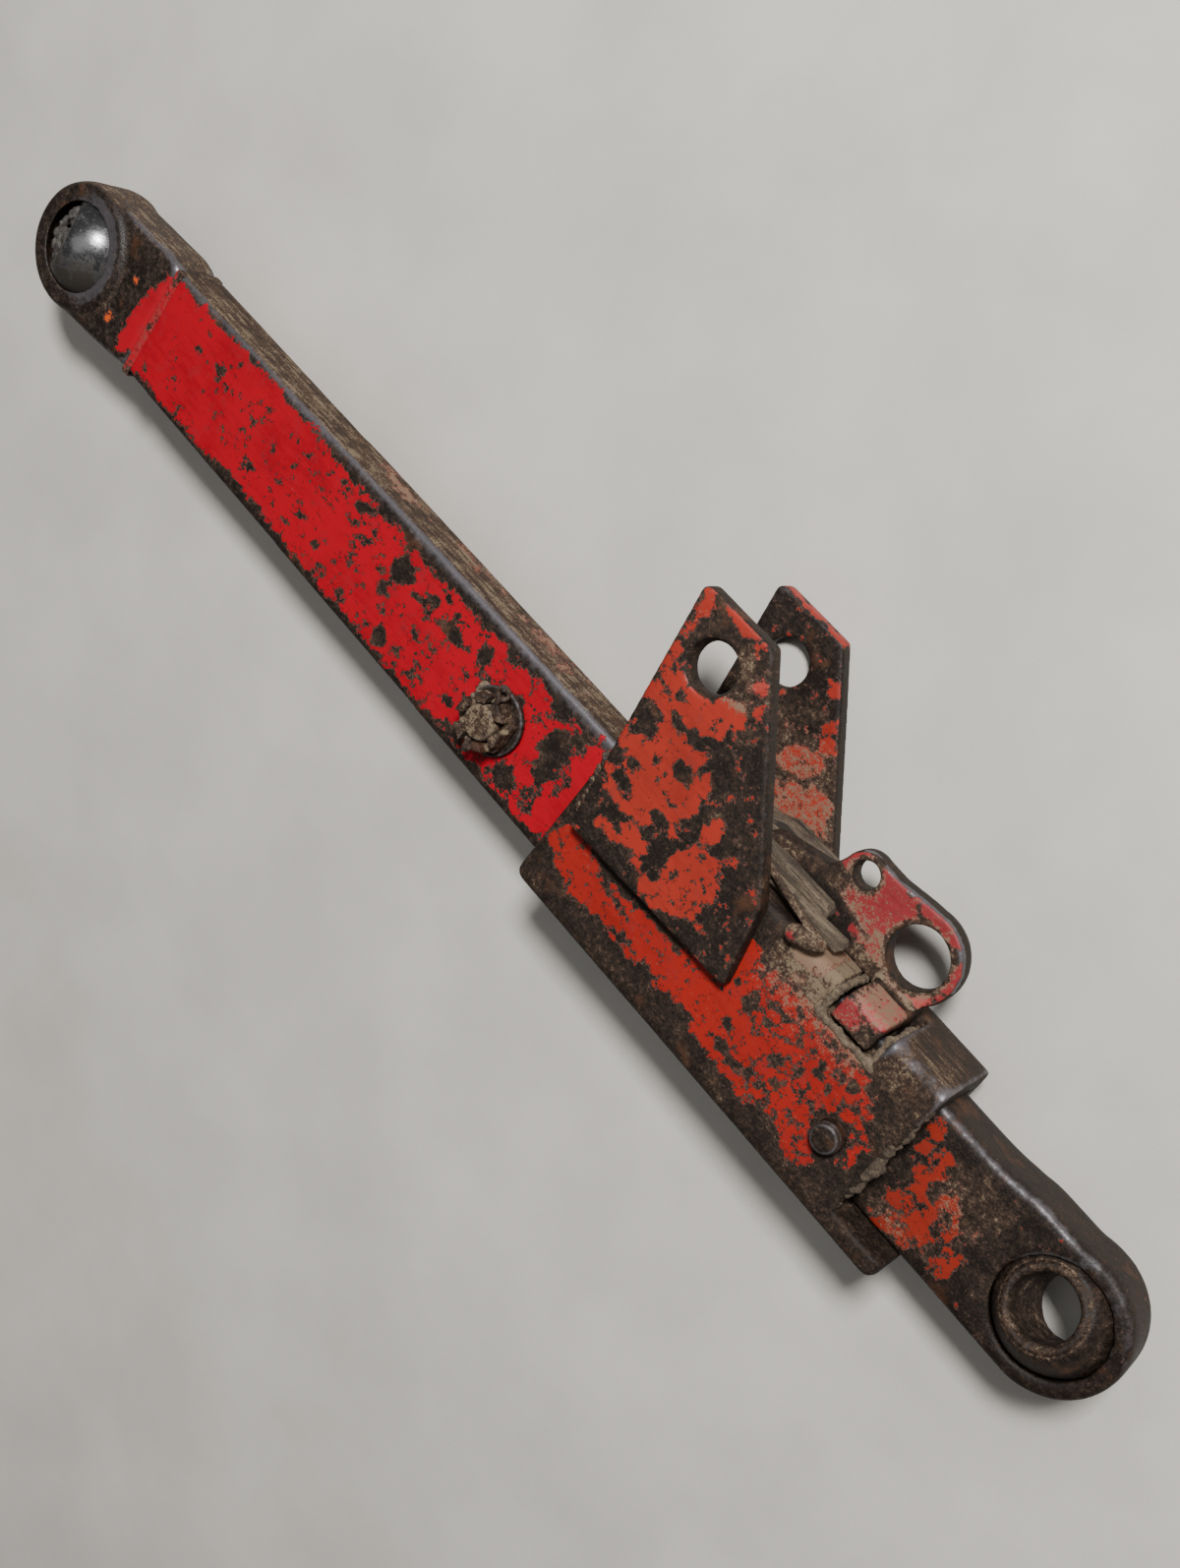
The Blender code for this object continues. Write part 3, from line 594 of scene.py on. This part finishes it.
def sleeve():
    """Chipped paint on the broad faces and caked tan dust on the upper side, which is pink beside the
    hook. In the gap next to the hook the upper side is painted black as shade."""
    skin = skin_of("sleeve", 1.4, smooth=3)
    x, y, z = skin.x, skin.y, skin.z
    outer = np.maximum.reduce([ramp(np.abs(z), 30, 33), ramp(y, 46, 51), ramp(-y, 41, 45)])
    top_side = ramp(skin.normal[:, 1], 0.6, 0.9) * ramp(y, 46, 51)
    grain = fractal(skin.arm, 5, 3, 15, (5, 1, 1))
    ridges = 0.5 * top_side * ramp(x, 640, 610) * np.abs(grain)
    skin.push(outer * (0.20 * fractal(skin.arm, 16, 4, 14) - 0.14 - ridges))
    near = ramp(skin.normal[:, 2], 0.5, 0.9)
    pink = depth(x, y, ((611, 49, 12, 8),))
    # Painted shade: the gap beside the hook is darkened to black.
    gap = ramp(depth(x, y, ((588, 55, 13, 10),)), -3, 3)
    paint = np.where(pink > 0, 0.5 + pink / 16, near * sleeve_paint(x, y))
    settled = ramp(x, 588, 600) * (ramp(y, 26, 38) + 0.6 * ramp(y, 5, 30)) * 0.5
    settled = settled * np.where(x > 664, 0.45, 1.0) + 0.12 * near
    # Tan dust on the upper side, less the painted shade in the gap.
    tan = 0.4 * top_side * ramp(x, 668, 656) + 0.12 * top_side - 0.7 * top_side * gap
    strap = ramp(x, 662, 668) * ramp(y, 40, 46) * ramp(z, 5, 25)
    wear_marks(skin, paint, dust_and_shade=settled * (z > 0) + tan,
               edge=np.where((x > 664) & (y > 30), 0.7, 0.2), fade=0.9 * ramp(pink, 0, 0.2),
               lay=top_side, rubbed=0.25 * strap, spread=5)
    settle(skin, weathered("sleeve_paint", SLEEVE_RED, seed=9.0, chip=7.0), "arm",
           "orange_red_paint", "sleeve")


def ear_skin(node, seed):
    """An ear with slight forge waves."""
    skin = skin_of(node, 1.1, smooth=3)
    skin.push(-0.08 + 0.16 * fractal(skin.arm, 20, 4, seed))
    return skin


def near_ear():
    """Patches of orange-red paint on the side that faces the camera, dusty round its hole."""
    skin = ear_skin("near_ear", 21)
    x, y = skin.x, skin.y
    near = ramp(skin.normal[:, 2], 0.4, 0.8)
    patch = depth(x, y, ((492, 97, 24, 8), (508, 107, 10, 8), (502, 64, 24, 24), (496, 40, 18, 9),
                         (546, 32, 15, 19), (536, 15, 12, 7), (511, 25, 11, 5), (498, 19, 8, 4),
                         (475, 60, 6, 5), (463, 138, 4, 8), (467, 106, 4, 12), (488, 143, 12, 3),
                         (482, 89, 18, 6), (539, 58, 5, 9), (520, 18, 3, 3), (520, 46, 8, 6),
                         (466, 122, 3, 5), (512, 127, 4, 4), (519, 118, 3, 5)))
    chips = depth(x, y, ((488, 86, 8, 3), (505, 86, 9, 4), (508, 70, 7, 5), (488, 43, 8, 4),
                         (515, 43, 6, 4), (485, 52, 3, 2), (494, 64, 2, 2), (516, 79, 3, 3),
                         (543, 47, 3, 2), (531, 21, 4, 4), (549, 27, 2, 3), (480, 73, 7, 3)))
    paint = np.minimum(np.clip(0.47 + patch / 9, 0.26, 0.66), 0.5 - chips / 7)
    rim = depth(x, y, ((504, 124, 16, 16),))
    paint = near * paint + (1 - near) * 0.05
    dust_and_shade = 0.6 * ramp(rim, -2, 4) + 0.30 * ramp(y, 80, 130) + 0.35 * ramp(x - 0.7 * y, 465, 500)
    dust_and_shade = dust_and_shade * np.where(x + 0.75 * y > 602, 0.3, 0.8) * ramp(y, 45, 75)
    wear_marks(skin, paint, dust_and_shade=(dust_and_shade - 0.06) * near, edge=0.3, fade=0.35 * ramp(rim, 0, 4))
    settle(skin, weathered("near_ear_paint", ORANGE_RED, seed=12.0, chip=8.0, ragged=1.5), "arm",
           "orange_red_paint", "near_ear")


def far_ear():
    """Dark inside with dusty patches of paint, red along its rim and well painted outside."""
    skin = ear_skin("far_ear", 25)
    x, y = skin.x, skin.y
    inner = ramp(skin.normal[:, 2], 0.4, 0.8)
    patch = depth(x, y, ((515, 125, 5, 5), (528, 111, 4, 9, -30), (532, 102, 5, 5), (526, 85, 13, 8, 30),
                         (541, 68, 18, 9), (548, 76, 9, 7), (536, 62, 10, 6)))
    rim_side = ramp(skin.normal[:, 1], 0.5, 0.9) * ramp(y, 140, 143)
    outer = ramp(-skin.normal[:, 2], 0.4, 0.8)
    old = depth(x, y, ((490, 70, 26, 40), (540, 40, 20, 22)))
    paint = inner * np.clip(0.5 + patch / 9, 0.26, 0.68) + outer * np.minimum(0.5 + old / 12, 0.85)
    dust_and_shade = 0.5 * ramp(100 - y, -25, 15) * inner
    wear_marks(skin, paint + 0.62 * rim_side, dust_and_shade=dust_and_shade - 0.2 * ramp(y, 100, 118), fade=0.1,
               edge=0.18, rubbed=0.16 * inner * ramp(y, 108, 128))
    settle(skin, weathered("far_ear_paint", ORANGE_RED, seed=15.0, chip=7.0, gloss=0.5), "arm",
           "orange_red_paint", "far_ear")


def ear_welds():
    """Rippled beads between the ears and the sleeve."""
    for node, seed in (("near_ear_weld", 31), ("far_ear_weld", 35)):
        skin = skin_of(node, 0.7, smooth=2)
        ripple = 0.4 * np.sin(skin.y * 1.7 + 2 * noise(skin.arm, 5, seed))
        skin.push(ripple - 0.25 + 0.3 * fractal(skin.arm, 4, 3, seed))
        wear_marks(skin, 0.25, dust_and_shade=0.35, edge=0.4)
        settle(skin, weathered(node + "_rust", ORANGE_RED, seed=float(seed)), "arm",
               "weld_metal", node)


def ridged(node, voxel, ridge, seed):
    """A block whose dirt has dried in long ridges."""
    skin = skin_of(node, voxel, smooth=1)
    ridges = fractal(skin.arm, 2.6, 3, seed, (9, 1, 1))
    cracks = ramp(noise(skin.arm, 3.6, seed + 5, (8, 1, 1)), 0.35, 0.6)
    skin.push(-0.15 - ridge * np.abs(ridges) - 2.2 * ridge * cracks)
    # The hollows and cracks, which the dirt's material darkens as painted shade.
    skin.mark("hollow", np.maximum(ramp(-skin.bend(8), 0.02, 0.3), cracks))
    look = caked(node + "_dirt", seed * 0.7, BLOCK_DIRT, BLOCK_DUST, stretch=(7, 1, 1))
    settle(skin, look, "arm", "dirty_steel", node)


def latch():
    """Crimson paint, thin round the holes and pink where the plate bends over to its foot."""
    skin = skin_of("latch", 0.9, smooth=8)
    skin.push(-0.06 + 0.14 * fractal(skin.arm, 9, 3, 41))
    x, y, z = skin.arm.T
    near = ramp(skin.normal[:, 2], 0.4, 0.8)
    plate = z < 12
    patch = depth(x, y, ((614, 84, 18, 13), (625, 74, 9, 14, -60), (640, 97, 17, 5), (592, 88, 8, 6, 50),
                         (663, 84, 4, 15), (610, 73, 14, 6), (630, 62, 18, 4), (650, 63, 14, 7)))
    holes = depth(x, y, ((598.8, 85.5, 9, 9), (643.3, 75.5, 18, 18)))
    paint = np.minimum(np.minimum(0.5 + patch / 9, 0.85), 0.5 - holes / 6)
    foot_red = depth(x, y, ((641, 44, 9, 7), (652, 53, 13, 5)))
    paint = np.where(plate, near * paint, 0.5 + foot_red / 12)
    # Painted shade: the plate is darkened to black in the gap beside the hook and the strip.
    gap = ramp(depth(x, y, ((590, 58, 22, 9),)), -3, 2)
    dusty = 0.27 * ramp(76 - y, -6, 10) * ramp(x, 652, 634)
    dust_and_shade = np.where(plate, 0.27 + dusty + 0.3 * ramp(holes, -3, 1) - 1.1 * gap,
                    0.36 + 0.2 * ramp(y, 48, 54)) * np.where(plate, near, 1.0)
    fade = np.where(plate, ramp(depth(x, y, ((652, 62, 18, 9),)), 0, 6) * 0.6,
                    ramp(y, 47, 52) * 0.55)
    edge = np.where(plate & (holes < -2) & (y - 0.2 * x > -58) & (x > 590), 0.85, 0.15)
    wear_marks(skin, paint, dust_and_shade=dust_and_shade, edge=edge, fade=fade, reach=7, spread=2)
    settle(skin, weathered("latch_paint", CRIMSON, seed=18.0, chip=6.0), "latch_lever",
           "crimson_paint", "latch")


def link_end():
    """Dark forging with a burnished upper edge and leftovers of paint near the sleeve. The shank
    inside the sleeve is left smooth."""
    skin = skin_of("link_end", 1.4, smooth=20)
    shown = ramp(skin.x, 702, 720)
    skin.push(-0.06 - 0.08 * shown + shown * 0.14 * fractal(skin.arm, 34, 2, 51))
    x, y = skin.x, skin.y
    near = ramp(np.abs(skin.normal[:, 2]), 0.4, 0.8)
    patch = depth(x, y, ((708, 24, 4, 11), (718, 18, 6, 8), (718, -5, 6, 22), (727, -10, 8, 12),
                         (734, 5, 5, 8), (729, -18, 11, 9), (741, -3, 5, 9), (752, -13, 5, 10)))
    paint = near * np.clip(0.46 + patch / 14, 0.1, 0.56)
    dusty = depth(x, y, ((741, 14, 22, 20), (722, -22, 24, 9)))
    dust_and_shade = near * (0.55 * ramp(dusty, -6, 8) + 0.4 * ramp(depth(x, y, ((772, -4, 8, 16),)), -3, 5))
    # Painted shade: the side faces and the far face are darkened.
    dust_and_shade = dust_and_shade - 0.14 * ramp(skin.normal[:, 2], 0.75, 0.35)
    edge = ramp(y, 5, 20) * (0.6 - 0.3 * ramp(x, 775, 805)) + 0.1
    rim = ramp(np.hypot(x - REAR_EYE_X, y), 33, 29)
    # Darker also on both broad faces, and round the eye's inner rim next to the ball.
    wear_marks(skin, paint, dust_and_shade=dust_and_shade - 0.15 * near - 0.1 * rim, edge=edge, reach=8, spread=7)
    look = weathered("link_rust", LINK_RED, seed=22.0, gloss=0.5, chip=7.0, ragged=1.6)
    settle(skin, look, "telescoping_end", "worn_forging", "link_end")


def balls():
    """The front ball is polished, the rear one rusty, with a skin of dirt inside its bore."""
    front = skin_of("front_ball", 1.0, smooth=3)
    front.mark("dust_and_shade", 0.6 * ramp(-front.y + 0.4 * front.x, -6, 22))
    front.push(-0.04 + 0.05 * fractal(front.arm, 8, 3, 61))
    settle(front, burnished("ball_steel", 25.0, BALL_STEEL), "tractor_ball",
           "polished_ball", "front_ball")
    rear = skin_of("rear_ball", 1.0, smooth=2)
    level = math.sin(REAR_TILT)
    bore = np.array((level * math.cos(REAR_HEADING), level * math.sin(REAR_HEADING),
                     math.cos(REAR_TILT)))
    out = (rear.co - np.array(middle("rear_ball"))) / MM
    out = out - np.outer(out @ bore, bore)
    inner = ramp(BORE_MOUTH - np.linalg.norm(out, axis=1), -0.5, 1.5)
    rear.push(inner * (2.6 + 0.5 * fractal(rear.arm, 8, 3, 65)) - 0.5 * (1 - inner))
    wear_marks(rear, 0.0, dust_and_shade=0.3 * inner, edge=0.3)
    settle(rear, weathered("ball_rust", seed=27.0, gloss=0.6), "implement_ball",
           "rusted_ball", "rear_ball")


def dark_steel(node, voxel, slot, seed, amount=0.12, dust_and_shade=0.2, edge=0.4):
    """A small unpainted piece, pitted by so many millimetres."""
    skin = skin_of(node, voxel, smooth=1)
    skin.push(-0.5 * amount + amount * fractal(skin.arm, 3.5, 3, seed))
    wear_marks(skin, 0.0, dust_and_shade=dust_and_shade, edge=edge, reach=4)
    settle(skin, weathered(node + "_steel", seed=seed * 0.9, gloss=0.4), "arm", slot, node)


def drop_crumbs(mesh, fewest=100):
    """Delete the separate bits of a mesh that have fewer than so many points."""
    bm = bmesh.new()
    bm.from_mesh(mesh)
    unseen = set(bm.verts)
    crumbs = []
    while unseen:
        island = []
        front = [unseen.pop()]
        while front:
            vert = front.pop()
            island.append(vert)
            near = {edge.other_vert(vert) for edge in vert.link_edges} & unseen
            unseen -= near
            front.extend(near)
        if len(island) < fewest:
            crumbs.extend(island)
    bmesh.ops.delete(bm, geom=crumbs, context="VERTS")
    bm.to_mesh(mesh)
    bm.free()


def mud_clumps(name, spots, voxel, seed, body="arm", colour=MUD, pale=DUST):
    """Dried dirt: lumps of different sizes grown together. A spot is a centre and a radius."""
    bm = bmesh.new()
    for x, y, z, radius in spots:
        at = ORIGIN + Vector((x, y, z)) * MM
        bmesh.ops.create_icosphere(bm, subdivisions=2, radius=radius * MM,
                                   matrix=Matrix.Translation(at))
    mesh = bpy.data.meshes.new(name)
    bm.to_mesh(mesh)
    bm.free()
    obj = remeshed(link(bpy.data.objects.new(name, mesh)), voxel)
    drop_crumbs(obj.data)
    skin = Skin(obj, voxel)
    skin.smooth(1)
    skin.push(0.8 * fractal(skin.arm, 3.0, 3, seed) - 0.2)
    # The hollows between the lumps, which the dirt's material darkens as painted shade.
    skin.mark("hollow", ramp(-skin.bend(8), 0.02, 0.4))
    settle(skin, caked(name + "_dirt", seed * 0.3, colour, pale), body, "dirty_steel")


def mouth_mud():
    """Crust along the upper edge of the sleeve's mouth."""
    rng = np.random.default_rng(7)
    mouth = 700.2
    face = 31.2
    spots = []
    for y in np.arange(-30, 41, 0.9):
        size = 1.0 + 1.6 * rng.random() ** 2 + 1.7 * math.exp(-((y + 2) / 7) ** 2)
        spots.append((mouth + rng.normal(0, 0.8), y, face + rng.normal(0, 0.6), size))
    mud_clumps("mouth_mud", spots, voxel=0.7, seed=71, colour=MOUTH_DIRT, pale=MOUTH_DUST)


def nut_mud():
    """Dirt packed round the stud's washer and on one side of its nut."""
    rng = np.random.default_rng(11)
    cx, cy, _ = (middle("sway_nut") - ORIGIN) / MM
    washer_edge = 19.0
    washer_foot = 17.3
    nut_side = 13.0
    washer_top = 21.5
    spots = []
    for _ in range(34):
        turn = math.radians(140 + 150 * rng.random())
        reach = washer_edge + rng.normal(0, 0.8)
        spots.append((cx + reach * math.cos(turn), cy + reach * math.sin(turn),
                      washer_foot + 1.5 * rng.random(), 1.2 + 1.2 * rng.random()))
    for _ in range(30):
        turn = math.radians(120 + 150 * rng.random())
        reach = nut_side + 2.5 * rng.random()
        spots.append((cx + reach * math.cos(turn), cy + reach * math.sin(turn),
                      washer_top + 7 * rng.random(), 1.3 + 1.4 * rng.random()))
    mud_clumps("nut_mud", spots, voxel=0.7, seed=75, colour=NUT_DIRT)


def ball_grease():
    """Dried grease in the front ball's bore, up to just under the sphere, with a hole left in it."""
    rng = np.random.default_rng(5)
    along = Vector((-math.sin(FRONT_TILT), 0, math.cos(FRONT_TILT)))
    across = Vector((math.cos(FRONT_TILT), 0, math.sin(FRONT_TILT)))
    surface = 29.5
    deepest = 19
    hole_x, hole_y, hole = 8, 12, 5
    spots = []
    for _ in range(150):
        turn, reach = 2 * math.pi * rng.random(), BORE_MOUTH * math.sqrt(rng.random())
        if math.hypot(reach * math.cos(turn) - hole_x, reach * math.sin(turn) - hole_y) < hole:
            continue
        radius = 1.5 + 2.3 * rng.random()
        rise = math.sqrt(surface ** 2 - reach ** 2) - radius - 4.5 * rng.random()
        at = along * max(rise, deepest) + across * reach * math.cos(turn)
        spots.append((at.x, at.y + reach * math.sin(turn), at.z, radius))
    mud_clumps("ball_grease", spots, voxel=0.8, seed=79, body="tractor_ball", colour=GREASE,
               pale=GREASE_PALE)


def foot_mud():
    """Dirt packed round the latch foot, and its lip below the foot."""
    rng = np.random.default_rng(3)
    front = 631.5
    back = 664.6
    lip = 32.5
    face = 31.2
    top = 48.6
    spots = []
    for x in np.arange(629, 668, 1.2):
        spots.append((x, lip + rng.normal(0, 0.5), face + 1.4, 1.5 + 0.8 * rng.random()))
    for y in np.arange(34, 50, 1.2):
        spots.append((front + rng.normal(0, 0.5), y, face + 0.6, 1.9 + 0.9 * rng.random()))
        spots.append((back + rng.normal(0, 0.4), y, face, 1.6 + 0.7 * rng.random()))
    for z in np.arange(4, 31, 1.5):
        spots.append((front + rng.normal(0, 0.5), top + 0.4, z, 2.0 + 0.9 * rng.random()))
        spots.append((back + 0.2 + rng.normal(0, 0.4), top, z, 1.7 + 0.7 * rng.random()))
    mud_clumps("foot_mud", spots, voxel=0.8, seed=73)


def latch_spring():
    """The spring's wire, with its hook thick with old paint and dirt."""
    wire = bmesh.new()
    wire.from_mesh(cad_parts["latch_spring"].data)
    # Points along the hook, each with the radius of what sticks to it.
    hook = ((610.5, 57.6, 34.6, 2.6), (611.6, 57.4, 36.4, 3.5), (610.5, 56.9, 37.6, 4.1),
            (608.0, 56.0, 38.2, 4.3), (605.2, 55.0, 38.3, 4.3), (602.5, 54.0, 38.0, 4.6),
            (600.3, 53.0, 37.4, 5.1), (599.0, 52.2, 36.9, 5.2))
    along = np.linspace(0, len(hook) - 1, 29)
    steps = [np.interp(along, range(len(hook)), column) for column in zip(*hook)]
    for x, y, z, radius in zip(*steps):
        at = ORIGIN + Vector((x, y, z)) * MM
        bmesh.ops.create_icosphere(wire, subdivisions=3, radius=radius * MM,
                                   matrix=Matrix.Translation(at))
    mesh = bpy.data.meshes.new("latch_spring_skin")
    wire.to_mesh(mesh)
    wire.free()
    skin = Skin(remeshed(link(bpy.data.objects.new("latch_spring_skin", mesh)), 0.55), 0.55)
    skin.smooth(2)
    skin.push(0.15 * fractal(skin.arm, 3.0, 3, 94) - 0.1)
    red = depth(skin.x, skin.y, ((599.5, 52.0, 3.0, 3.0),))
    wear_marks(skin, np.where(skin.z > 33, 0.45 + red / 8, 0.0),
               dust_and_shade=0.7 - 0.4 * ramp(red, -2, 1), edge=0.2, reach=4)
    settle(skin, weathered("spring_steel_dirty", CRIMSON, seed=33.0, gloss=0.4, chip=5.0), "arm",
           "spring_steel", "latch_spring")


def small_parts():
    """Blocks under dried dirt, and bolts, nuts and pins of dark steel."""
    ridged("latch_saddle", voxel=0.8, ridge=0.5, seed=81)
    ridged("guide_strip", voxel=0.5, ridge=0.35, seed=85)
    dark_steel("stop_bolt", 0.6, "dark_steel", seed=91, amount=0.06, dust_and_shade=-0.1, edge=0.6)
    dark_steel("stop_nut", 0.7, "dark_steel", seed=92)
    dark_steel("latch_pin", 0.6, "dark_steel", seed=93)
    dark_steel("sway_stud", 0.7, "dark_steel", seed=95, amount=0.2, dust_and_shade=0.85)
    dark_steel("sway_washer", 0.7, "dirty_steel", seed=96, amount=0.15, dust_and_shade=0.1, edge=0.5)
    dark_steel("sway_back_washer", 0.8, "dirty_steel", seed=97, amount=0.2, dust_and_shade=0.4)
    dark_steel("sway_nut", 0.6, "dirty_steel", seed=98, amount=0.35, dust_and_shade=0.6, edge=0.35)
    dark_steel("sway_cotter", 0.5, "spring_steel", seed=99, amount=0.15, dust_and_shade=0.5, edge=0.35)


# ---------------------------------------------------------------- surroundings

def floor():
    """A plain pale floor, 0.2 mm below the object, so that the two don't share a plane."""
    bm = bmesh.new()
    bmesh.ops.create_grid(bm, x_segments=1, y_segments=1, size=6.0)
    mesh = bpy.data.meshes.new("floor")
    bm.to_mesh(mesh)
    bm.free()
    plane = link(bpy.data.objects.new("floor", mesh))
    plane.location.z = cad_low.z - 0.2 * MM
    s = Shader("pale_floor")
    cloud = s.noise(120, 4, 0.55)
    colour = s.mix(s.step(cloud, -0.25, 0.25), FLOOR_DARK, FLOOR_LIGHT)
    mesh.materials.append(s.finish(colour, 0.7, 0.0, s.times(s.noise(2.0, 3), 0.10)))


def area_light(name, at, aim, size, power):
    """A rectangular lamp turned towards its aim."""
    data = bpy.data.lights.new(name, "AREA")
    data.shape = "RECTANGLE"
    data.size, data.size_y = size
    data.energy = power
    lamp = link(bpy.data.objects.new(name, data))
    lamp.location = at
    lamp.rotation_mode = "QUATERNION"
    lamp.rotation_quaternion = (Vector(aim) - Vector(at)).to_track_quat("-Z", "Y")


def lights():
    """A dim sky, a strong small lamp on the side of the ears and a weak wide one above."""
    world = bpy.data.worlds.new("studio")
    world.use_nodes = True
    background = world.node_tree.nodes["Background"]
    background.inputs["Color"].default_value = (0.95, 0.97, 1.0, 1.0)
    background.inputs["Strength"].default_value = 0.12
    bpy.context.scene.world = world
    area_light("key", at=(0.35, 1.5, 1.9), aim=(0, 0, 0), size=(0.45, 0.35), power=96)
    area_light("top", at=(-0.4, 0.3, 2.2), aim=(0, 0, 0), size=(1.6, 1.2), power=6)


def camera():
    """Looks down from the side of the ears, with the arm running down to the picture's right."""
    data = bpy.data.cameras.new("camera")
    data.lens = 42.67
    data.sensor_width = 36.0
    data.sensor_fit = "AUTO"
    eye = Vector((0.3691, 0.3734, 0.8550))
    aim = Vector((0.0584, -0.0441, 0.0442))
    heading = math.radians(131.7)
    back = (eye - aim).normalized()
    up = Vector((math.cos(heading), math.sin(heading), 0.0))
    up = (up - back * up.dot(back)).normalized()
    side = up.cross(back)
    turn = Matrix((side, up, back)).transposed()
    obj = link(bpy.data.objects.new("camera", data))
    obj.matrix_world = Matrix.Translation(eye) @ turn.to_4x4()
    bpy.context.scene.camera = obj


camera()
lights()
floor()
main_bar()
front_eye()
eye_weld()
sleeve()
near_ear()
far_ear()
ear_welds()
latch()
link_end()
balls()
small_parts()
latch_spring()
foot_mud()
mouth_mud()
nut_mud()
ball_grease()
